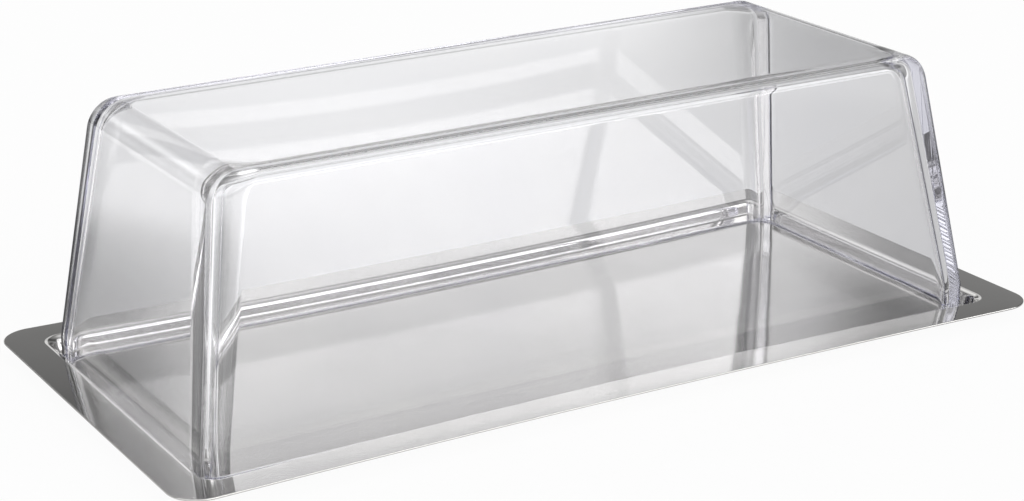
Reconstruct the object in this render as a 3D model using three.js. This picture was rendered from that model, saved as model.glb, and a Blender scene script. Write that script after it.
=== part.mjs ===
// Loaf cake tray with a clear lift-off cover.
// A thin polished sheet tray has a flat rim round a shallow recess.
// The cover is one moulded shell, open below, whose foot stands inside the recess.
// Millimetres, +Z up. The tray's underside lies on z = 0 and its length runs along X.
import * as THREE from 'three';
import { mergeVertices } from 'three/addons/utils/BufferGeometryUtils.js';

// Tray
const trayLength = 360;
const trayWidth = 185;
const trayCornerRadius = 13;
const rimPullIn = 3.6;
const sheetThickness = 0.8;
const sheetEdgeRadius = 0.3;

// Recess pressed into the tray, measured where the flat rim ends
const recessLength = 334;
const recessWidth = 161;
const recessCornerRadius = 9;
const recessPullIn = 5.2;
const recessDepth = 6;
const recessWallAngle = THREE.MathUtils.degToRad(80);
const rimBendRadius = 3;
const floorBendRadius = 0.8;

// Fit of the cover in the recess
const endClearance = 0.4;
const sideClearance = 8.2;
const seatGap = 0.3;

// Cover
const coverHeight = 103;
const coverTopLength = 297;
const coverTopWidth = 110.4;
const coverFootPullIn = 2.5;
const wallThickness = 2;
const topThickness = 2;
const footBandHeight = 9.4;
const footEdgeRadius = 0.5;
const endFilletRadius = 12;
const outerEdgeRadius = 1.7;
const innerCornerRadiusAtTop = 14;
const innerCornerRadiusAtFoot = 9;
const innerEdgeRadius = 5;

// Fineness of the faceted shapes
const cornerSteps = 6;
const sideSteps = 12;
const bendSteps = 5;
const edgeSteps = 3;
const filletSteps = 8;

const quarterTurn = Math.PI / 2;

// One closed ring of points at a height: a rectangle with round corners, counter-clockwise from
// above. The long sides draw in by pullIn at their middle, along a parabola.
function planRing({ halfLength, halfWidth, cornerRadius, pullIn, z }) {
  const straightX = halfLength - cornerRadius;
  const straightY = halfWidth - cornerRadius;
  const points = [];
  const addPoint = (x, y) => {
    const shrink = 1 - (pullIn / halfWidth) * Math.max(0, 1 - (x / halfLength) ** 2);
    points.push(new THREE.Vector3(x, y * shrink, z));
  };
  const addCorner = (centreX, centreY, startAngle) => {
    for (let step = 0; step <= cornerSteps; step += 1) {
      const angle = startAngle + (quarterTurn * step) / cornerSteps;
      addPoint(centreX + cornerRadius * Math.cos(angle), centreY + cornerRadius * Math.sin(angle));
    }
  };
  const addLongSide = (fromX, y) => {
    for (let step = 1; step < sideSteps; step += 1) {
      addPoint(fromX * (1 - (2 * step) / sideSteps), y);
    }
  };
  addCorner(straightX, straightY, 0);
  addLongSide(straightX, halfWidth);
  addCorner(-straightX, straightY, quarterTurn);
  addCorner(-straightX, -straightY, 2 * quarterTurn);
  addLongSide(-straightX, -halfWidth);
  addCorner(straightX, -straightY, 3 * quarterTurn);
  return points;
}

// A closed skin through rings of equal count, with a flat lid on the first and on the last ring.
function loft(rings) {
  const count = rings[0].length;
  const positions = [];
  const triangles = [];
  const addVertex = (point) => positions.push(point.x, point.y, point.z);
  rings.forEach((ring) => ring.forEach(addVertex));
  for (let level = 0; level < rings.length - 1; level += 1) {
    for (let i = 0; i < count; i += 1) {
      const next = (i + 1) % count;
      const here = level * count;
      const there = here + count;
      triangles.push(here + i, there + i, there + next);
      triangles.push(here + i, there + next, here + next);
    }
  }
  const addLid = (ringIndex, facesUp) => {
    const start = ringIndex * count;
    const centre = positions.length / 3;
    addVertex(new THREE.Vector3(0, 0, rings[ringIndex][0].z));
    for (let i = 0; i < count; i += 1) {
      const next = (i + 1) % count;
      if (facesUp) {
        triangles.push(centre, start + i, start + next);
      } else {
        triangles.push(centre, start + next, start + i);
      }
    }
  };
  addLid(0, true);
  addLid(rings.length - 1, false);
  const geometry = new THREE.BufferGeometry();
  geometry.setAttribute('position', new THREE.Float32BufferAttribute(positions, 3));
  geometry.setIndex(triangles);
  const merged = mergeVertices(geometry);
  merged.computeVertexNormals();
  return merged;
}

// Sideways run of the recess wall from the flat rim down to the flat floor.
function recessRun() {
  const fall = 1 - Math.cos(recessWallAngle);
  const straightFall = recessDepth - (rimBendRadius + floorBendRadius) * fall;
  const bendRun = (rimBendRadius + floorBendRadius) * Math.sin(recessWallAngle);
  return bendRun + straightFall / Math.tan(recessWallAngle);
}

const floorLength = recessLength - 2 * recessRun();
const floorWidth = recessWidth - 2 * recessRun();
const floorTop = sheetThickness;
const rimTop = sheetThickness + recessDepth;

// Inset and height of the recess wall from floor to rim, on the top face of the sheet
// or, with depthInSheet, on a face that far inside it.
function recessSection(depthInSheet) {
  const floorRadius = floorBendRadius + depthInSheet;
  const rimRadius = rimBendRadius - depthInSheet;
  const section = [];
  for (let step = 0; step <= bendSteps; step += 1) {
    const angle = (recessWallAngle * step) / bendSteps;
    section.push({
      inset: recessRun() - floorRadius * Math.sin(angle),
      z: floorTop + floorBendRadius - floorRadius * Math.cos(angle),
    });
  }
  for (let step = bendSteps; step >= 0; step -= 1) {
    const angle = (recessWallAngle * step) / bendSteps;
    section.push({
      inset: rimRadius * Math.sin(angle),
      z: rimTop - rimBendRadius + rimRadius * Math.cos(angle),
    });
  }
  return section;
}

function recessRing({ inset, z }) {
  return planRing({
    halfLength: recessLength / 2 - inset,
    halfWidth: recessWidth / 2 - inset,
    cornerRadius: recessCornerRadius - inset,
    pullIn: recessPullIn,
    z,
  });
}

function rimRing(inset, z) {
  return planRing({
    halfLength: trayLength / 2 - inset,
    halfWidth: trayWidth / 2 - inset,
    cornerRadius: trayCornerRadius - inset,
    pullIn: rimPullIn,
    z,
  });
}

// The round edge of the sheet, from its top face round to its underside.
function rimEdgeRings() {
  const rings = [];
  const rimUnderside = rimTop - sheetThickness;
  const centres = [rimTop - sheetEdgeRadius, rimUnderside + sheetEdgeRadius];
  centres.forEach((centreZ, quarter) => {
    for (let step = 0; step <= edgeSteps; step += 1) {
      const angle = quarterTurn * (1 - quarter - step / edgeSteps);
      const inset = sheetEdgeRadius * (1 - Math.cos(angle));
      rings.push(rimRing(inset, centreZ + sheetEdgeRadius * Math.sin(angle)));
    }
  });
  return rings;
}

function trayGeometry() {
  const topRings = recessSection(0).map(recessRing);
  const undersideRings = recessSection(sheetThickness).reverse().map(recessRing);
  return loft([...topRings, ...rimEdgeRings(), ...undersideRings]);
}

// Half size of a wall that leans out by slope below the top, whose upper edge is rounded.
// topHalf is where wall and top would meet without the rounding.
function halfSizeBelowTop({ topHalf, slope, radius, depth }) {
  const lean = Math.atan(slope);
  const tangentDepth = radius * (1 - Math.sin(lean));
  if (depth >= tangentDepth) {
    return topHalf + slope * depth;
  }
  const centre = topHalf - tangentDepth / Math.cos(lean);
  return centre + Math.sqrt(radius ** 2 - (radius - depth) ** 2);
}

const footHalfLength = floorLength / 2 - endClearance;
const footHalfWidth = floorWidth / 2 - sideClearance;
const draftedHeight = coverHeight - footBandHeight;
const endSlope = (footHalfLength - coverTopLength / 2) / draftedHeight;
const sideSlope = (footHalfWidth - coverTopWidth / 2) / draftedHeight;

// One level of the cover's skin at a height, on its outside, or on its inside one wall further in.
function coverRing({ inside, footInset, depth, topDepth }) {
  const offset = inside ? wallThickness : 0;
  const endOffset = offset * Math.hypot(1, endSlope);
  const sideOffset = offset * Math.hypot(1, sideSlope);
  const filletRadius = inside ? endFilletRadius - wallThickness : endFilletRadius;
  const leaningDepth = Math.min(depth, draftedHeight);
  const halfLength = halfSizeBelowTop({
    topHalf: coverTopLength / 2 - endOffset + endSlope * topDepth,
    slope: endSlope,
    radius: filletRadius,
    depth: leaningDepth - topDepth,
  });
  const halfWidth = halfSizeBelowTop({
    topHalf: coverTopWidth / 2 - sideOffset + sideSlope * topDepth,
    slope: sideSlope,
    radius: inside ? innerEdgeRadius : outerEdgeRadius,
    depth: leaningDepth - topDepth,
  });
  const down = depth / coverHeight;
  const innerCornerRadius = THREE.MathUtils.lerp(innerCornerRadiusAtTop, innerCornerRadiusAtFoot, down);
  return planRing({
    halfLength: halfLength - footInset,
    halfWidth: halfWidth - footInset,
    cornerRadius: inside ? innerCornerRadius : outerEdgeRadius,
    pullIn: coverFootPullIn * down,
    z: coverHeight - depth,
  });
}

// Depths below the top at which the end fillet gets a ring, from the wall up to the flat top.
function filletDepths(radius, topDepth) {
  const lean = Math.atan(endSlope);
  const depths = [];
  for (let step = 0; step <= filletSteps; step += 1) {
    const angle = lean + ((quarterTurn - lean) * step) / filletSteps;
    depths.push(topDepth + radius * (1 - Math.sin(angle)));
  }
  return depths;
}

// The round lower edge of the foot: inset from the wall and height, from the wall to the flat foot.
function footEdge() {
  const edge = [];
  for (let step = 0; step <= edgeSteps; step += 1) {
    const angle = (quarterTurn * step) / edgeSteps;
    edge.push({
      footInset: footEdgeRadius * (1 - Math.cos(angle)),
      depth: coverHeight - footEdgeRadius * (1 - Math.sin(angle)),
    });
  }
  return edge;
}

function coverGeometry() {
  const outerDepths = filletDepths(endFilletRadius, 0).reverse();
  const innerDepths = filletDepths(endFilletRadius - wallThickness, topThickness);
  const outside = { inside: false, footInset: 0, topDepth: 0 };
  const inside = { inside: true, footInset: 0, topDepth: topThickness };
  return loft([
    ...outerDepths.map((depth) => coverRing({ ...outside, depth })),
    coverRing({ ...outside, depth: draftedHeight }),
    ...footEdge().map((edge) => coverRing({ ...outside, ...edge })),
    ...footEdge().reverse().map(({ footInset, depth }) => (
      coverRing({ ...inside, footInset: -footInset, depth })
    )),
    coverRing({ ...inside, depth: draftedHeight }),
    ...innerDepths.map((depth) => coverRing({ ...inside, depth })),
  ]);
}

// Polished stainless sheet
function makeTray() {
  const steel = new THREE.MeshStandardMaterial({ color: 0xc4c2be, roughness: 0.12, metalness: 1 });
  const tray = new THREE.Mesh(trayGeometry(), steel);
  tray.name = 'steel_tray';
  return tray;
}

// Clear moulded plastic
function makeCover() {
  const clearPlastic = new THREE.MeshStandardMaterial({
    color: 0xeeeef6,
    roughness: 0.04,
    metalness: 0,
    transparent: true,
    opacity: 0.3,
  });
  const cover = new THREE.Mesh(coverGeometry(), clearPlastic);
  cover.name = 'clear_cover';
  cover.position.z = floorTop + seatGap;
  return cover;
}

const group = new THREE.Group();
group.add(makeTray(), makeCover());

export default group;
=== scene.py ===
"""Looks of a covered loaf cake tray: a polished sheet tray and its clear lift-off cover.

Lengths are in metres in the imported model's frame: X along the tray, Z up, and the tray's
underside on z = 0.
"""

import logging
import math
from collections.abc import Iterable
from dataclasses import dataclass, field
from enum import Enum

import bmesh
import bpy
from mathutils import Matrix, Vector


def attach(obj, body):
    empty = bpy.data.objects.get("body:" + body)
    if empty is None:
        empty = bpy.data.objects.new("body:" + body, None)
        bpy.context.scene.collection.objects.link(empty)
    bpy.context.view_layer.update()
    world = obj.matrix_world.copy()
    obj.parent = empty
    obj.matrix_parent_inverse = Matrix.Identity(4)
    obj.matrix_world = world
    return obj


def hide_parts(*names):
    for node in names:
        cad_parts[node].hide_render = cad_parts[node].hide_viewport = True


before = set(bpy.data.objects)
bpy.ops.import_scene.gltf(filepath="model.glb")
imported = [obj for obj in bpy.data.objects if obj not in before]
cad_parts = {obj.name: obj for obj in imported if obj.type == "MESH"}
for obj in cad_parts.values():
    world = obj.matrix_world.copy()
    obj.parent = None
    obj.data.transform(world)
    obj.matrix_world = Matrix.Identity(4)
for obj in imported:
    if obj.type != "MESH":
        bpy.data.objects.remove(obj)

log = logging.getLogger("loaf_tray")

MM = 0.001
PHOTO_WIDTH_PX = 1024
SENSOR_WIDTH_MM = 36.0
QUARTER_TURN = math.pi / 2
# Vertex attribute with the weight of the painted shade along the cover's crisp upper edges.
EDGE_SHADE = "edge_shade"

# The first face of a skin starts as a square of half size 1, cut off this far from each corner.
CORNER_CUT = 0.5
LONG_SIDE_AT_LEAST = 0.9

# How strongly large faces keep their own normals.
NORMAL_WEIGHT = 50

Colour = tuple[float, float, float, float]


class Body(Enum):
    """The rigid bodies that pieces ride on."""

    TRAY = "tray"
    COVER = "cover"


class Face(Enum):
    """Which face of a sheet or moulding an outline lies on."""

    OUTER = 0.0
    INNER = 1.0


@dataclass(frozen=True)
class Outline:
    """A level outline: a rectangle with round corners whose long sides draw in at their middle.

    The half sizes are where the sides would be without the drawing in, and side_shade says how
    far round a crisp upper edge the long sides are at this level, as the weight of painted shade.
    """

    half_length: float
    half_width: float
    corner_radius: float
    pull_in: float
    z: float
    side_shade: float = 0.0

    def place(self, corner: Vector, outward: Vector) -> Vector:
        """Finds where one point of the outline lies.

        Args:
            corner: Signs or fractions that say which corner centre the point belongs to.
            outward: Direction from that corner centre to the point, of length one.

        Returns:
            The point, in the model's frame.
        """
        radius = self.corner_radius
        x = corner.x * (self.half_length - radius) + outward.x * radius
        y = corner.y * (self.half_width - radius) + outward.y * radius
        middle_share = max(0.0, 1.0 - (x / self.half_length) ** 2)
        return Vector((x, y * (1.0 - self.pull_in / self.half_width * middle_share), self.z))

    def shade(self, outward: Vector) -> float:
        """How far round a crisp edge of the long sides the point lies, as the weight of painted
        shade.
        """
        return self.side_shade * abs(outward.y)


@dataclass
class OutlineSkin:
    """A closed skin through outlines, one extrusion for each, with a flat face at either end."""

    corner_segments: int
    side_cuts: int
    mesh: bmesh.types.BMesh = field(default_factory=bmesh.new)
    edges: list[bmesh.types.BMEdge] = field(default_factory=list)

    def start(self, outline: Outline) -> None:
        """Makes the first flat face.

        Args:
            outline: The outline of that face.
        """
        bm = self.mesh
        bmesh.ops.create_grid(bm, x_segments=1, y_segments=1, size=1.0)
        bmesh.ops.bevel(
            bm,
            geom=bm.verts[:],
            offset=CORNER_CUT,
            offset_type="OFFSET",
            segments=self.corner_segments,
            profile=0.5,
            affect="VERTICES",
            material=-1,
            clamp_overlap=False,
        )
        long_sides = [
            edge
            for edge in bm.edges
            if abs(edge.verts[0].co.x - edge.verts[1].co.x) > LONG_SIDE_AT_LEAST
        ]
        bmesh.ops.subdivide_edges(bm, edges=long_sides, cuts=self.side_cuts)
        layers = bm.verts.layers.float
        corner_x, corner_y = layers.new("corner_x"), layers.new("corner_y")
        out_x, out_y = layers.new("out_x"), layers.new("out_y")
        layers.new(EDGE_SHADE)
        for vert in bm.verts:
            centre_x = max(-CORNER_CUT, min(CORNER_CUT, vert.co.x))
            centre = Vector((centre_x, math.copysign(CORNER_CUT, vert.co.y), 0.0))
            outward = (vert.co - centre).normalized()
            vert[corner_x], vert[corner_y] = centre.x / CORNER_CUT, centre.y / CORNER_CUT
            vert[out_x], vert[out_y] = outward.x, outward.y
        self._settle(bm.verts, outline)
        self.edges = [edge for edge in bm.edges if edge.is_boundary]

    def follow(self, outline: Outline) -> None:
        """Extrudes the last outline to the next one.

        Args:
            outline: Where the extruded points go.
        """
        made = bmesh.ops.extrude_edge_only(self.mesh, edges=self.edges)["geom"]
        new_verts = {g for g in made if isinstance(g, bmesh.types.BMVert)}
        self._settle(new_verts, outline)
        self.edges = [
            g
            for g in made
            if isinstance(g, bmesh.types.BMEdge) and new_verts.issuperset(g.verts)
        ]

    def close(self) -> None:
        """Fills the last outline with a flat face and points every face outwards."""
        bmesh.ops.edgeloop_fill(self.mesh, edges=self.edges)
        bmesh.ops.recalc_face_normals(self.mesh, faces=self.mesh.faces[:])

    def _settle(self, verts: Iterable[bmesh.types.BMVert], outline: Outline) -> None:
        """Moves points to their places on an outline.

        Args:
            verts: The points, each of which carries its place on the outline in its layers.
            outline: The outline they go to.
        """
        layers = self.mesh.verts.layers.float
        corner_x, corner_y = layers["corner_x"], layers["corner_y"]
        out_x, out_y, edge_shade = layers["out_x"], layers["out_y"], layers[EDGE_SHADE]
        for vert in verts:
            corner = Vector((vert[corner_x], vert[corner_y], 0.0))
            outward = Vector((vert[out_x], vert[out_y], 0.0))
            vert.co = outline.place(corner, outward)
            vert[edge_shade] = outline.shade(outward)


def finish_piece(name: str, skin: OutlineSkin, material: bpy.types.Material) -> bpy.types.Object:
    """Turns a skin into a smooth shaded object.

    Args:
        name: The piece's name.
        skin: The finished skin, whose bmesh is freed.
        material: The piece's material.

    Returns:
        The object, at the origin, with its place in its mesh.
    """
    mesh = bpy.data.meshes.new(name)
    skin.mesh.to_mesh(mesh)
    skin.mesh.free()
    mesh.materials.append(material)
    mesh.shade_smooth()
    piece = bpy.data.objects.new(name, mesh)
    bpy.context.collection.objects.link(piece)
    normals = piece.modifiers.new("flat_faces_stay_flat", "WEIGHTED_NORMAL")
    normals.mode = "FACE_AREA"
    normals.weight = NORMAL_WEIGHT
    return piece


@dataclass(frozen=True)
class GroupSocket:
    """One named socket of a node group."""

    name: str
    kind: str


PLACE_INPUT = GroupSocket("Place", "NodeSocketVector")


def new_group(
    name: str, inputs: list[GroupSocket], outputs: list[GroupSocket]
) -> bpy.types.NodeTree:
    """Makes an empty shader node group.

    Args:
        name: The group's name.
        inputs: Its inputs.
        outputs: Its outputs.

    Returns:
        The group, with its group input and output nodes.
    """
    group = bpy.data.node_groups.new(name, "ShaderNodeTree")
    for way, sockets in (("INPUT", inputs), ("OUTPUT", outputs)):
        for socket in sockets:
            group.interface.new_socket(socket.name, in_out=way, socket_type=socket.kind)
    group.nodes.new("NodeGroupInput").name = "in"
    group.nodes.new("NodeGroupOutput").name = "out"
    return group


@dataclass(frozen=True)
class Noise:
    """A noise texture: waves per metre, octaves and the scale of the place along each axis."""

    scale: float
    detail: float
    stretch: tuple[float, float, float] = (1.0, 1.0, 1.0)

    def add(
        self, tree: bpy.types.NodeTree, place: bpy.types.NodeSocket
    ) -> bpy.types.NodeSocket:
        """Adds the texture.

        Args:
            tree: The node tree.
            place: The place on the piece, in metres.

        Returns:
            The noise's value.
        """
        mapping = tree.nodes.new("ShaderNodeMapping")
        mapping.inputs["Scale"].default_value = self.stretch
        noise = tree.nodes.new("ShaderNodeTexNoise")
        noise.inputs["Scale"].default_value = self.scale
        noise.inputs["Detail"].default_value = self.detail
        tree.links.new(place, mapping.inputs["Vector"])
        tree.links.new(mapping.outputs["Vector"], noise.inputs["Vector"])
        return noise.outputs["Fac"]


def combine(
    tree: bpy.types.NodeTree, operation: str, *values: bpy.types.NodeSocket | float
) -> bpy.types.NodeSocket:
    """Adds a sum done on values or numbers.

    Args:
        tree: The node tree.
        operation: The kind of sum.
        values: What it is done with, in order.

    Returns:
        The result.
    """
    node = tree.nodes.new("ShaderNodeMath")
    node.operation = operation
    for value, socket in zip(values, node.inputs):
        if isinstance(value, float):
            socket.default_value = value
        else:
            tree.links.new(value, socket)
    return node.outputs[0]


def vector_math(
    tree: bpy.types.NodeTree,
    operation: str,
    vector: bpy.types.NodeSocket,
    other: Vector | None,
    result: str,
) -> bpy.types.NodeSocket:
    """Adds a sum done on a direction or a place.

    Args:
        tree: The node tree.
        operation: The kind of sum.
        vector: The direction or place.
        other: The fixed vector it is done with, if it needs one.
        result: Which output is wanted, Vector or Value.

    Returns:
        The result.
    """
    node = tree.nodes.new("ShaderNodeVectorMath")
    node.operation = operation
    tree.links.new(vector, node.inputs[0])
    if other is not None:
        node.inputs[1].default_value = other
    return node.outputs[result]


def map_range(
    tree: bpy.types.NodeTree,
    value: bpy.types.NodeSocket,
    old: tuple[float, float],
    new: tuple[float, float],
    smooth: bool = False,
) -> bpy.types.NodeSocket:
    """Adds a clamped map from one range to another.

    Args:
        tree: The node tree.
        value: What is mapped.
        old: The range it comes from.
        new: The range it goes to.
        smooth: Whether the map eases in and out.

    Returns:
        The mapped value.
    """
    node = tree.nodes.new("ShaderNodeMapRange")
    node.interpolation_type = "SMOOTHSTEP" if smooth else "LINEAR"
    names = ("From Min", "From Max", "To Min", "To Max")
    for name, number in zip(names, (*old, *new)):
        node.inputs[name].default_value = number
    tree.links.new(value, node.inputs["Value"])
    return node.outputs["Result"]


def mix_colours(
    tree: bpy.types.NodeTree,
    share: bpy.types.NodeSocket,
    first: bpy.types.NodeSocket | Colour,
    second: Colour,
) -> bpy.types.NodeSocket:
    """Adds a mix of two colours.

    Args:
        tree: The node tree.
        share: How much of the second colour there is.
        first: The first colour, fixed or already mixed.
        second: The second colour.

    Returns:
        The mixed colour.
    """
    node = tree.nodes.new("ShaderNodeMix")
    node.data_type = "RGBA"
    if isinstance(first, tuple):
        node.inputs["A"].default_value = first
    else:
        tree.links.new(first, node.inputs["A"])
    node.inputs["B"].default_value = second
    tree.links.new(share, node.inputs["Factor"])
    return node.outputs["Result"]


@dataclass(frozen=True)
class FaceWaves:
    """The slow unevenness of a pressed or moulded face."""

    slow: Noise = Noise(7.0, 1.0)
    quick: Noise = Noise(26.0, 0.0)
    quick_share: float = 0.12

    def make_group(self) -> bpy.types.NodeTree:
        """Makes the group.

        Returns:
            A group that puts out a height from the place on the piece.
        """
        group = new_group("face_waves", [PLACE_INPUT], [GroupSocket("Height", "NodeSocketFloat")])
        place = group.nodes["in"].outputs["Place"]
        slow, quick = self.slow.add(group, place), self.quick.add(group, place)
        height = combine(group, "MULTIPLY_ADD", quick, self.quick_share, slow)
        group.links.new(height, group.nodes["out"].inputs["Height"])
        return group


@dataclass(frozen=True)
class HandlingWear:
    """The faint haze and wiping marks of a handled surface, each with the span it shows over."""

    haze: Noise = Noise(16.0, 4.0)
    haze_span: tuple[float, float] = (0.35, 0.7)
    marks: Noise = Noise(90.0, 3.0, (0.12, 6.0, 2.0))
    marks_span: tuple[float, float] = (0.62, 0.8)

    def make_group(self) -> bpy.types.NodeTree:
        """Makes the group.

        Returns:
            A group that puts out Haze, which is broad and soft, and Marks, which are fine lines.
        """
        group = new_group(
            "handling_wear",
            [PLACE_INPUT],
            [GroupSocket("Haze", "NodeSocketFloat"), GroupSocket("Marks", "NodeSocketFloat")],
        )
        place, out = group.nodes["in"].outputs["Place"], group.nodes["out"]
        haze = map_range(group, self.haze.add(group, place), self.haze_span, (0.0, 1.0))
        marks = map_range(group, self.marks.add(group, place), self.marks_span, (0.0, 1.0))
        group.links.new(haze, out.inputs["Haze"])
        group.links.new(marks, out.inputs["Marks"])
        return group


@dataclass(frozen=True)
class CornerShade:
    """Painted shade in the colour of a clear moulding at its crisp upright corners, standing in
    for the dark that refraction shows there.

    Left, right, near and far are as the photo shows them, and the far right corner stays clear.

    Attributes:
        half_length: Start and slope of the cover's half length against height.
        half_width: The same of its half width. Both follow from the sizes in ClearCover.
        foot_band_top: The height below which the walls are upright.
        reach: How far from the corner the shade goes.
        darkest_share: How much of that reach is as dark as it gets.
        far_end_weight: How much a distance along the end face counts at the far corners.
        near_end_weight: The same at the near corners. Less than 1 spreads the shade.
        left_narrowing: What is added to 1 to weigh distances along the long faces at the left.
        near_left: How strong the shade of the near left corner is.
    """

    half_length: tuple[float, float] = (163.908 * MM, -0.148013)
    half_width: tuple[float, float] = (69.496 * MM, -0.137329)
    foot_band_top: float = 10.5 * MM
    reach: float = 2.9 * MM
    darkest_share: float = 0.25
    far_end_weight: float = 0.36
    near_end_weight: float = 1.0
    left_narrowing: float = 1.0
    near_left: float = 0.7

    def _below(
        self,
        tree: bpy.types.NodeTree,
        along: bpy.types.NodeSocket,
        up: bpy.types.NodeSocket,
        half: tuple[float, float],
    ) -> bpy.types.NodeSocket:
        """Adds how far a place lies inside the moulding's full size along one axis.

        Args:
            tree: The node tree.
            along: The place along that axis.
            up: The place's height.
            half: Start and slope of the half size.

        Returns:
            The distance, in metres.
        """
        size = combine(tree, "MULTIPLY_ADD", up, half[1], half[0])
        return combine(tree, "SUBTRACT", size, combine(tree, "ABSOLUTE", along))

    def make_group(self) -> bpy.types.NodeTree:
        """Makes the group.

        Returns:
            A group that puts out the shade from the place on the piece.
        """
        group = new_group("corner_shade", [PLACE_INPUT], [GroupSocket("Shade", "NodeSocketFloat")])
        split = group.nodes.new("ShaderNodeSeparateXYZ")
        group.links.new(group.nodes["in"].outputs["Place"], split.inputs[0])
        x, y = split.outputs["X"], split.outputs["Y"]
        up = combine(group, "MAXIMUM", split.outputs["Z"], self.foot_band_top)
        left, near = combine(group, "LESS_THAN", x, 0.0), combine(group, "LESS_THAN", y, 0.0)
        long_weight = combine(group, "MULTIPLY_ADD", left, self.left_narrowing, 1.0)
        from_end = self._below(group, x, up, self.half_length)
        from_end = combine(group, "MULTIPLY", from_end, long_weight)
        nearer = self.near_end_weight - self.far_end_weight
        end_weight = combine(group, "MULTIPLY_ADD", near, nearer, self.far_end_weight)
        from_side = self._below(group, y, up, self.half_width)
        from_side = combine(group, "MULTIPLY", from_side, end_weight)
        squares = [combine(group, "POWER", part, 2.0) for part in (from_end, from_side)]
        distance = combine(group, "SQRT", combine(group, "ADD", *squares))
        span = (self.reach * self.darkest_share, self.reach)
        shade = map_range(group, distance, span, (1.0, 0.0), smooth=True)
        both = combine(group, "MULTIPLY", left, near)
        weaker = combine(group, "MULTIPLY", both, self.near_left - 1.0)
        kept = combine(group, "ADD", combine(group, "MAXIMUM", left, near), weaker)
        shade = combine(group, "MULTIPLY", shade, kept)
        group.links.new(shade, group.nodes["out"].inputs["Shade"])
        return group


@dataclass(frozen=True)
class SharedEffects:
    """The node groups that more than one finish uses."""

    waves: bpy.types.NodeTree
    wear: bpy.types.NodeTree


@dataclass
class SurfaceNodes:
    """A new material with its place on the piece and the shared effects already in it."""

    name: str
    effects: SharedEffects

    def __post_init__(self) -> None:
        """Makes the material and places the groups."""
        self.material = bpy.data.materials.new(self.name)
        self.material.use_nodes = True
        self.tree = self.material.node_tree
        self.shader = self.tree.nodes["Principled BSDF"]
        self.output = self.tree.nodes["Material Output"]
        self.place = self.tree.nodes.new("ShaderNodeTexCoord").outputs["Object"]
        self.waves = self.place_group(self.effects.waves)
        self.wear = self.place_group(self.effects.wear)

    def place_group(self, group: bpy.types.NodeTree) -> bpy.types.Node:
        """Puts a group in the material.

        Args:
            group: A group that takes the place on the piece.

        Returns:
            The group's node.
        """
        node = self.tree.nodes.new("ShaderNodeGroup")
        node.node_tree = group
        self.tree.links.new(self.place, node.inputs["Place"])
        return node

    def link(self, value: bpy.types.NodeSocket, socket: str) -> None:
        """Links a value to one of the shader's sockets."""
        self.tree.links.new(value, self.shader.inputs[socket])

    def add_relief(self, distance: float) -> None:
        """Lets the slow waves bend the surface.

        Args:
            distance: Height of the waves, in metres.
        """
        bump = self.tree.nodes.new("ShaderNodeBump")
        bump.inputs["Strength"].default_value = 1.0
        bump.inputs["Distance"].default_value = distance
        self.tree.links.new(self.waves.outputs["Height"], bump.inputs["Height"])
        self.link(bump.outputs["Normal"], "Normal")


@dataclass(frozen=True)
class PolishedSteel:
    """Mirror-polished stainless sheet with a faint haze from wiping."""

    clean: Colour = (0.64, 0.632, 0.62, 1.0)
    hazed: Colour = (0.60, 0.592, 0.58, 1.0)
    smoothest: float = 0.05
    roughest: float = 0.08
    mark_roughness: float = 0.006
    wave_height: float = 0.00002

    def make(self, effects: SharedEffects) -> bpy.types.Material:
        """Makes the material.

        Args:
            effects: The shared node groups.

        Returns:
            The material.
        """
        nodes = SurfaceNodes("polished_steel", effects)
        nodes.shader.inputs["Metallic"].default_value = 1.0
        haze, marks = nodes.wear.outputs["Haze"], nodes.wear.outputs["Marks"]
        nodes.link(mix_colours(nodes.tree, haze, self.clean, self.hazed), "Base Color")
        wiped = map_range(nodes.tree, haze, (0.0, 1.0), (self.smoothest, self.roughest))
        marked = combine(nodes.tree, "MULTIPLY_ADD", marks, self.mark_roughness, wiped)
        nodes.link(marked, "Roughness")
        nodes.add_relief(self.wave_height)
        return nodes.material


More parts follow.
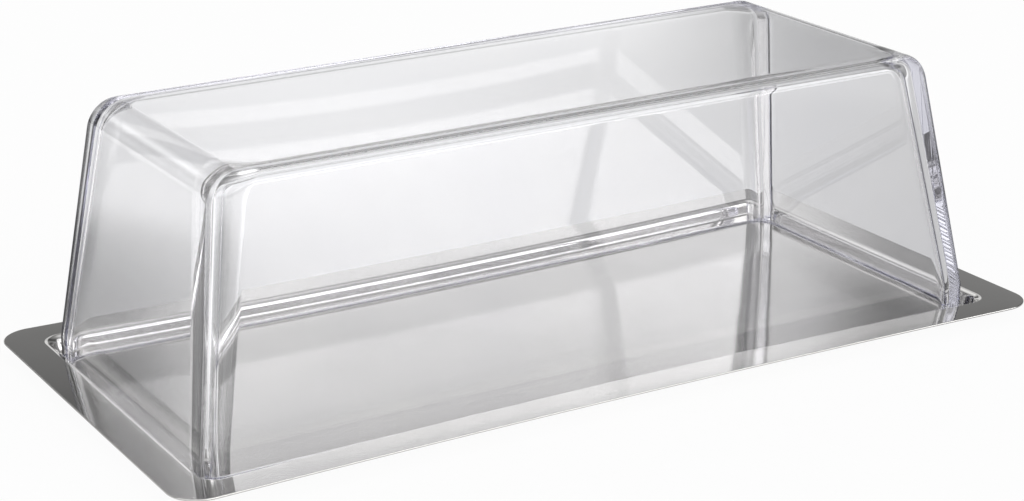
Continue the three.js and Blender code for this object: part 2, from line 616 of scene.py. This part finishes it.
@dataclass(frozen=True)
class ClearPlastic:
    """Clear, hard, slightly cool plastic with the slow waves of a moulding, and painted shade in
    its colour along crisp edges and corners.
    """

    clear: Colour = (0.985, 0.985, 0.992, 1.0)
    hazed: Colour = (0.965, 0.965, 0.98, 1.0)
    ior: float = 1.57
    smoothest: float = 0.0
    roughest: float = 0.006
    wave_height: float = 0.000004
    # Near-black colour of the painted shade at crisp edges and corners. It stands in for dark
    # surroundings seen through refraction.
    edge: Colour = (0.01, 0.01, 0.02, 1.0)
    long_edge_strength: float = 0.35
    long_edge_span: tuple[float, float] = (0.2, 0.9)
    corners: CornerShade = CornerShade()
    body_tint: Colour = (0.80, 0.80, 0.93, 1.0)
    body_density: float = 5.0

    def make(self, effects: SharedEffects) -> bpy.types.Material:
        """Makes the material.

        Args:
            effects: The shared node groups.

        Returns:
            The material.
        """
        nodes = SurfaceNodes("clear_plastic", effects)
        nodes.shader.inputs["Transmission Weight"].default_value = 1.0
        nodes.shader.inputs["IOR"].default_value = self.ior
        haze, marks = nodes.wear.outputs["Haze"], nodes.wear.outputs["Marks"]
        body = mix_colours(nodes.tree, haze, self.clear, self.hazed)
        # Painted shade: the base colour goes towards the near-black edge colour along the long
        # sides' crisp upper edges and at the upright corners.
        edge = nodes.tree.nodes.new("ShaderNodeAttribute")
        edge.attribute_name = EDGE_SHADE
        long_edge_painted_shade = map_range(
            nodes.tree,
            edge.outputs["Fac"],
            self.long_edge_span,
            (0.0, self.long_edge_strength),
            smooth=True,
        )
        corners = nodes.place_group(self.corners.make_group()).outputs["Shade"]
        shaded = combine(nodes.tree, "MAXIMUM", long_edge_painted_shade, corners)
        nodes.link(mix_colours(nodes.tree, shaded, body, self.edge), "Base Color")
        rough = map_range(nodes.tree, marks, (0.0, 1.0), (self.smoothest, self.roughest))
        nodes.link(rough, "Roughness")
        nodes.add_relief(self.wave_height)
        inside = nodes.tree.nodes.new("ShaderNodeVolumeAbsorption")
        inside.inputs["Color"].default_value = self.body_tint
        inside.inputs["Density"].default_value = self.body_density
        nodes.tree.links.new(inside.outputs["Volume"], nodes.output.inputs["Volume"])
        return nodes.material


@dataclass
class SheetTray:
    """The tray: a flat rim round a shallow pressed recess, from one thin sheet."""

    length: float = 360 * MM
    width: float = 185 * MM
    corner_radius: float = 13 * MM
    rim_pull_in: float = 3.6 * MM
    sheet: float = 0.8 * MM
    edge_radius: float = 0.3 * MM
    recess_length: float = 334 * MM
    recess_width: float = 161 * MM
    recess_corner_radius: float = 9 * MM
    recess_pull_in: float = 5.2 * MM
    recess_depth: float = 6 * MM
    wall_angle: float = math.radians(80)
    rim_bend: float = 3 * MM
    floor_bend: float = 0.8 * MM
    corner_segments: int = 16
    side_cuts: int = 31
    bend_steps: int = 12
    edge_steps: int = 4

    def recess_run(self) -> float:
        """Works out how far the recess's wall runs sideways.

        Returns:
            The distance from the flat rim to the flat floor.
        """
        bends = self.rim_bend + self.floor_bend
        straight_fall = self.recess_depth - bends * (1.0 - math.cos(self.wall_angle))
        return bends * math.sin(self.wall_angle) + straight_fall / math.tan(self.wall_angle)

    def recess_outlines(self, face: Face) -> list[Outline]:
        """The recess's wall, from the floor up to the rim.

        Args:
            face: The sheet's top face, which is its outer one here, or its underside.

        Returns:
            The outlines, from low to high.
        """
        inside = self.sheet * face.value
        floor_radius, rim_radius = self.floor_bend + inside, self.rim_bend - inside
        rim_top = self.sheet + self.recess_depth
        levels: list[tuple[float, float]] = []
        for step in range(self.bend_steps + 1):
            angle = self.wall_angle * step / self.bend_steps
            inset = self.recess_run() - floor_radius * math.sin(angle)
            levels.append((inset, self.sheet + self.floor_bend - floor_radius * math.cos(angle)))
        for step in reversed(range(self.bend_steps + 1)):
            angle = self.wall_angle * step / self.bend_steps
            inset = rim_radius * math.sin(angle)
            levels.append((inset, rim_top - self.rim_bend + rim_radius * math.cos(angle)))
        return [
            Outline(
                self.recess_length / 2 - inset,
                self.recess_width / 2 - inset,
                self.recess_corner_radius - inset,
                self.recess_pull_in,
                z,
            )
            for inset, z in levels
        ]

    def edge_outlines(self) -> list[Outline]:
        """Draws the round edge of the sheet.

        Returns:
            The outlines, from its top face to its underside.
        """
        rim_top = self.sheet + self.recess_depth
        centres = (rim_top - self.edge_radius, rim_top - self.sheet + self.edge_radius)
        outlines = []
        for quarter, centre in enumerate(centres):
            for step in range(self.edge_steps + 1):
                angle = QUARTER_TURN * (1 - quarter - step / self.edge_steps)
                inset = self.edge_radius * (1.0 - math.cos(angle))
                outlines.append(
                    Outline(
                        self.length / 2 - inset,
                        self.width / 2 - inset,
                        self.corner_radius - inset,
                        self.rim_pull_in,
                        centre + self.edge_radius * math.sin(angle),
                    )
                )
        return outlines

    def build(self, material: bpy.types.Material) -> bpy.types.Object:
        """Builds the tray in place of its CAD node.

        Args:
            material: The polished sheet.

        Returns:
            The piece.
        """
        skin = OutlineSkin(self.corner_segments, self.side_cuts)
        top, underside = self.recess_outlines(Face.OUTER), self.recess_outlines(Face.INNER)
        skin.start(top[0])
        for outline in [*top[1:], *self.edge_outlines(), *reversed(underside)]:
            skin.follow(outline)
        skin.close()
        piece = finish_piece("pressed_tray", skin, material)
        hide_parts("steel_tray")
        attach(piece, Body.TRAY.value)
        return piece


@dataclass
class ClearCover:
    """The cover: one clear shell, open below, with leaning walls and a flat top."""

    height: float = 103 * MM
    foot_z: float = 1.1 * MM
    top_length: float = 297 * MM
    top_width: float = 110.4 * MM
    foot_length: float = 324.708 * MM
    foot_width: float = 136.108 * MM
    foot_pull_in: float = 2.5 * MM
    wall: float = 2 * MM
    foot_band: float = 9.4 * MM
    foot_edge: float = 0.5 * MM
    end_fillet: float = 12 * MM
    outer_edge: float = 1.7 * MM
    inner_corner_top: float = 14 * MM
    inner_corner_foot: float = 9 * MM
    inner_edge: float = 5 * MM
    corner_segments: int = 40
    side_cuts: int = 31
    fillet_steps: int = 20
    wall_steps: int = 12
    edge_steps: int = 5

    def slope(self, top: float, foot: float) -> float:
        """How far a wall leans out for each unit down, from its full top and foot sizes."""
        return (foot - top) / 2 / (self.height - self.foot_band)

    def half_size(self, top_half: float, slope: float, radius: float, depth: float) -> float:
        """Half size of a leaning wall whose upper edge is rounded.

        Args:
            top_half: Where wall and top would meet without the rounding.
            slope: How far the wall leans out for each unit down.
            radius: The rounding.
            depth: Depth below the top face.

        Returns:
            The half size at that depth.
        """
        lean = math.atan(slope)
        tangent_depth = radius * (1.0 - math.sin(lean))
        if depth >= tangent_depth:
            return top_half + slope * depth
        centre = top_half - tangent_depth / math.cos(lean)
        return centre + math.sqrt(radius**2 - (radius - depth) ** 2)

    def outline(self, face: Face, depth: float, foot_inset: float = 0.0) -> Outline:
        """One level of the cover's skin.

        Args:
            face: Outside or inside.
            depth: Depth below the cover's top.
            foot_inset: How far the rounded foot has drawn in from the wall.

        Returns:
            The outline.
        """
        inside = face is Face.INNER
        offset = self.wall * face.value
        end_slope = self.slope(self.top_length, self.foot_length)
        side_slope = self.slope(self.top_width, self.foot_width)
        # The inside's flat top lies one wall lower, where the leaning walls stand wider.
        leaning = min(depth, self.height - self.foot_band) - offset
        half_length = self.half_size(
            self.top_length / 2 - offset * math.hypot(1.0, end_slope) + end_slope * offset,
            end_slope,
            self.end_fillet - offset,
            leaning,
        )
        half_width = self.half_size(
            self.top_width / 2 - offset * math.hypot(1.0, side_slope) + side_slope * offset,
            side_slope,
            self.inner_edge if inside else self.outer_edge,
            leaning,
        )
        down = depth / self.height
        tightening = (self.inner_corner_top - self.inner_corner_foot) * down
        inner_corner = self.inner_corner_top - tightening
        return Outline(
            half_length - foot_inset,
            half_width - foot_inset,
            inner_corner if inside else self.outer_edge,
            self.foot_pull_in * down,
            self.foot_z + self.height - depth,
            side_shade=(1.0 - face.value) * self.top_edge_shade(depth),
        )

    def top_edge_shade(self, depth: float) -> float:
        """How far round the upper edge of the long sides a depth lies, as the weight of painted
        shade.
        """
        sine = 1.0 - min(depth, self.outer_edge) / self.outer_edge
        return 2.0 * sine * math.sqrt(1.0 - sine**2)

    def wall_outlines(self, face: Face) -> list[Outline]:
        """One face of the walls from the flat top down to the top of the foot band.

        Args:
            face: Outside or inside.

        Returns:
            The outlines, from high to low.
        """
        offset = self.wall * face.value
        radius = self.end_fillet - offset
        lean = math.atan(self.slope(self.top_length, self.foot_length))
        depths = [
            offset + radius * (1.0 - math.cos((QUARTER_TURN - lean) * step / self.fillet_steps))
            for step in range(self.fillet_steps + 1)
        ]
        band_top = self.height - self.foot_band
        fillet_end = depths[-1]
        for step in range(1, self.wall_steps + 1):
            depths.append(fillet_end + (band_top - fillet_end) * step / self.wall_steps)
        return [self.outline(face, depth) for depth in depths]

    def foot_outlines(self) -> list[Outline]:
        """Draws the foot, rounded on both sides.

        Returns:
            The outlines, from the outside round to the inside.
        """
        rounding = []
        for step in range(self.edge_steps + 1):
            angle = QUARTER_TURN * step / self.edge_steps
            inset = self.foot_edge * (1.0 - math.cos(angle))
            rounding.append((inset, self.height - self.foot_edge * (1.0 - math.sin(angle))))
        outside = [self.outline(Face.OUTER, depth, inset) for inset, depth in rounding]
        inside = [self.outline(Face.INNER, depth, -inset) for inset, depth in reversed(rounding)]
        return [*outside, *inside]

    def build(self, material: bpy.types.Material) -> bpy.types.Object:
        """Builds the cover in place of its CAD node.

        Args:
            material: The clear plastic.

        Returns:
            The piece.
        """
        skin = OutlineSkin(self.corner_segments, self.side_cuts)
        outside, inside = self.wall_outlines(Face.OUTER), self.wall_outlines(Face.INNER)
        skin.start(outside[0])
        for outline in [*outside[1:], *self.foot_outlines(), *reversed(inside)]:
            skin.follow(outline)
        skin.close()
        piece = finish_piece("moulded_cover", skin, material)
        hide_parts("clear_cover")
        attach(piece, Body.COVER.value)
        return piece


@dataclass(frozen=True)
class SoftWindow:
    """A broad bright part of the room that fades out all round.

    Bearings are in degrees from +Y towards +X. Heights are sines of the angle above the floor.
    """

    name: str
    bearing: float
    half_width: float
    side_fade: float
    height: float
    half_height: float
    upright_fade: float
    level: float

    def add(self, tree: bpy.types.NodeTree, towards: bpy.types.NodeSocket) -> bpy.types.NodeSocket:
        """Adds the window's light.

        Args:
            tree: The room's node tree.
            towards: The direction looked in.

        Returns:
            The window's level in that direction.
        """
        turn = math.radians(self.bearing)
        level_only = Vector((1.0, 1.0, 0.0))
        flattened = vector_math(tree, "MULTIPLY", towards, level_only, "Vector")
        unit = vector_math(tree, "NORMALIZE", flattened, None, "Vector")
        middle = Vector((math.sin(turn), math.cos(turn), 0.0))
        facing = vector_math(tree, "DOT_PRODUCT", unit, middle, "Value")
        aside = combine(tree, "ARCCOSINE", facing)
        full = math.radians(self.half_width - self.side_fade)
        gone = math.radians(self.half_width + self.side_fade)
        across = map_range(tree, aside, (full, gone), (1.0, 0.0), smooth=True)
        split = tree.nodes.new("ShaderNodeSeparateXYZ")
        tree.links.new(towards, split.inputs[0])
        above = combine(tree, "SUBTRACT", split.outputs["Z"], self.height)
        off = combine(tree, "ABSOLUTE", above)
        full, gone = self.half_height - self.upright_fade, self.half_height + self.upright_fade
        upwards = map_range(tree, off, (full, gone), (self.level, 0.0), smooth=True)
        light = combine(tree, "MULTIPLY", across, upwards)
        light.node.label = self.name
        return light


@dataclass(frozen=True)
class FloorPool:
    """A soft round pool of painted light in the floor's glow, which only polished and clear faces
    show.

    A level below 0 makes it painted shade.
    """

    name: str
    centre: Vector
    radius: float
    fade: float
    level: float

    def add(self, tree: bpy.types.NodeTree, place: bpy.types.NodeSocket) -> bpy.types.NodeSocket:
        """Adds the pool.

        Args:
            tree: The floor's node tree.
            place: The place on the floor, in metres.

        Returns:
            The pool's level at that place.
        """
        distance = vector_math(tree, "DISTANCE", place, self.centre, "Value")
        span = (self.radius - self.fade, self.radius + self.fade)
        light = map_range(tree, distance, span, (self.level, 0.0), smooth=True)
        light.node.label = self.name
        return light


@dataclass
class Studio:
    """A plain pale floor in a grey room with broad soft windows.

    Attributes:
        glow_seen: Share of the floor's own glow where it is seen. The rest takes the shadow.
        glow_mirrored: Share of the glow where polished and clear faces show the floor.
        floor_level: Level of the glow they show, outside the pools.
        light_paths: How many faces light may meet.
        heights: The room's level against the sine of the angle above the floor.
    """

    floor_radius: float = 6.0
    floor_segments: int = 96
    floor_drop: float = 0.05 * MM
    floor_colour: Colour = (0.9, 0.9, 0.9, 1.0)
    floor_grain: Noise = Noise(30.0, 2.0)
    grain_colour: Colour = (0.92, 0.92, 0.92, 1.0)
    floor_roughness: float = 0.6
    floor_specular: float = 0.2
    glow_seen: float = 0.94
    glow_mirrored: float = 0.97
    floor_level: float = 1.0
    light_paths: int = 96
    heights: tuple[tuple[float, float], ...] = (
        (-1.0, 0.6),
        (0.0, 0.3),
        (0.12, 0.45),
        (0.22, 0.1),
        (0.3, 0.38),
        (0.4, 0.1),
        (0.55, 0.1),
        (0.8, 0.4),
        (1.0, 1.15),
    )
    windows: tuple[SoftWindow, ...] = (
        SoftWindow("white_sheet_behind", 29.2, 8.2, 1.5, 0.46, 0.18, 0.03, 0.69),
        SoftWindow("low_sheet_behind", 9.5, 25.0, 3.0, 0.203, 0.057, 0.06, 1.0),
        SoftWindow("high_room_in_front", 203.0, 80.0, 10.0, 0.51, 0.15, 0.05, 1.5),
        SoftWindow("low_room_in_front", 203.0, 80.0, 10.0, 0.15, 0.21, 0.05, 1.0),
        SoftWindow("bright_front_right", 152.0, 34.0, 7.0, 0.46, 0.08, 0.06, 2.2),
        SoftWindow("left_behind", 322.0, 24.0, 6.0, 0.40, 0.09, 0.05, 1.1),
        SoftWindow("low_in_front", 158.0, 32.0, 10.0, 0.06, 0.1, 0.04, 3.4),
        SoftWindow("high_behind", 5.0, 15.0, 6.0, 0.66, 0.08, 0.18, 1.38),
    )
    pools: tuple[FloorPool, ...] = (
        FloorPool("far_left_shade", Vector((-0.45, 0.205, 0.0)), 0.451, 0.146, -0.28),
        FloorPool("near_left_shade", Vector((-0.267, 0.156, 0.0)), 0.181, 0.05, -0.38),
        FloorPool("right_shade", Vector((0.915, -0.3, 0.0)), 0.895, 0.202, -0.416),
    )

    def build(self) -> None:
        """Builds the floor and the room's light."""
        self._build_floor()
        self._build_room()
        self._follow_light_through()

    def _follow_light_through(self) -> None:
        """Lets light pass the many faces of a thick clear corner before it is given up."""
        paths = bpy.context.scene.cycles
        paths.max_bounces = self.light_paths
        paths.glossy_bounces = self.light_paths
        paths.transmission_bounces = self.light_paths

    def _build_floor(self) -> None:
        """Makes the round floor, which glows white where it is seen and still takes the shadow."""
        material = bpy.data.materials.new("pale_floor")
        material.use_nodes = True
        tree = material.node_tree
        shader, output = tree.nodes["Principled BSDF"], tree.nodes["Material Output"]
        place = tree.nodes.new("ShaderNodeTexCoord").outputs["Object"]
        grain = self.floor_grain.add(tree, place)
        colour = mix_colours(tree, grain, self.floor_colour, self.grain_colour)
        tree.links.new(colour, shader.inputs["Base Color"])
        shader.inputs["Roughness"].default_value = self.floor_roughness
        shader.inputs["Specular IOR Level"].default_value = self.floor_specular
        path = tree.nodes.new("ShaderNodeLightPath").outputs
        mirrored = combine(tree, "MAXIMUM", path["Is Glossy Ray"], path["Is Transmission Ray"])
        share = combine(
            tree,
            "MAXIMUM",
            combine(tree, "MULTIPLY", path["Is Camera Ray"], self.glow_seen),
            combine(tree, "MULTIPLY", mirrored, self.glow_mirrored),
        )
        level = combine(tree, "MULTIPLY", mirrored, self.floor_level)
        # The pools paint light and shade into the glow that polished and clear faces show.
        for pool in self.pools:
            level = combine(tree, "ADD", level, pool.add(tree, place))
        glow = tree.nodes.new("ShaderNodeEmission")
        strength = combine(tree, "MAXIMUM", level, path["Is Camera Ray"])
        tree.links.new(strength, glow.inputs["Strength"])
        mix = tree.nodes.new("ShaderNodeMixShader")
        tree.links.new(share, mix.inputs["Fac"])
        tree.links.new(shader.outputs[0], mix.inputs[1])
        tree.links.new(glow.outputs[0], mix.inputs[2])
        tree.links.new(mix.outputs[0], output.inputs["Surface"])
        bm = bmesh.new()
        bmesh.ops.create_circle(
            bm, cap_ends=True, radius=self.floor_radius, segments=self.floor_segments
        )
        bmesh.ops.translate(bm, verts=bm.verts[:], vec=Vector((0.0, 0.0, -self.floor_drop)))
        mesh = bpy.data.meshes.new("floor")
        bm.to_mesh(mesh)
        bm.free()
        mesh.materials.append(material)
        floor = bpy.data.objects.new("floor", mesh)
        bpy.context.collection.objects.link(floor)

    def _build_room(self) -> None:
        """Makes the room: white where it is seen, grey low on the walls and pale overhead."""
        world = bpy.data.worlds.new("room")
        bpy.context.scene.world = world
        world.use_nodes = True
        tree = world.node_tree
        background = tree.nodes["Background"]
        towards = tree.nodes.new("ShaderNodeTexCoord").outputs["Generated"]
        split = tree.nodes.new("ShaderNodeSeparateXYZ")
        tree.links.new(towards, split.inputs[0])
        ramp = tree.nodes.new("ShaderNodeValToRGB")
        elements = ramp.color_ramp.elements
        while len(elements) < len(self.heights):
            elements.new(0.5)
        for element, (height, level) in zip(elements, self.heights):
            element.position = (height + 1.0) / 2.0
            element.color = (level, level, level, 1.0)
        upward = map_range(tree, split.outputs["Z"], (-1.0, 1.0), (0.0, 1.0))
        tree.links.new(upward, ramp.inputs["Fac"])
        total = ramp.outputs["Color"]
        for window in self.windows:
            total = combine(tree, "ADD", total, window.add(tree, towards))
        seen = tree.nodes.new("ShaderNodeLightPath").outputs["Is Camera Ray"]
        tree.links.new(combine(tree, "MAXIMUM", total, seen), background.inputs["Color"])
        background.inputs["Strength"].default_value = 1.0


@dataclass(frozen=True)
class PhotoCamera:
    """The photograph's view: where its camera stands, its axes, and its lens."""

    place: Vector = field(default_factory=lambda: Vector((-0.4479, -0.7860, 0.3436)))
    right: Vector = field(default_factory=lambda: Vector((0.867649, -0.49694, -0.015396)))
    down: Vector = field(default_factory=lambda: Vector((-0.173341, -0.273338, -0.946171)))
    forward: Vector = field(default_factory=lambda: Vector((0.465982, 0.823612, -0.323301)))
    focal_length_px: float = 2490.6
    nearest: float = 0.01
    furthest: float = 50.0

    def make(self) -> None:
        """Adds the camera and makes it the scene's own."""
        data = bpy.data.cameras.new("photo_camera")
        data.sensor_width = SENSOR_WIDTH_MM
        data.lens = self.focal_length_px / PHOTO_WIDTH_PX * SENSOR_WIDTH_MM
        data.clip_start, data.clip_end = self.nearest, self.furthest
        camera = bpy.data.objects.new("photo_camera", data)
        axes = Matrix((self.right, -self.down, -self.forward)).transposed()
        camera.matrix_world = Matrix.Translation(self.place) @ axes.to_4x4()
        bpy.context.collection.objects.link(camera)
        bpy.context.scene.camera = camera


def main() -> None:
    """Builds the tray, the cover, the studio and the camera, in that order."""
    logging.basicConfig(level=logging.INFO, format="%(message)s")
    bpy.context.scene.view_settings.view_transform = "Standard"
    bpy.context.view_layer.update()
    effects = SharedEffects(FaceWaves().make_group(), HandlingWear().make_group())
    pieces = [
        SheetTray().build(PolishedSteel().make(effects)),
        ClearCover().build(ClearPlastic().make(effects)),
    ]
    for piece in pieces:
        log.info("%s: %d faces", piece.name, len(piece.data.polygons))
    Studio().build()
    PhotoCamera().make()
    bpy.context.view_layer.update()


if __name__ == "__main__":
    main()
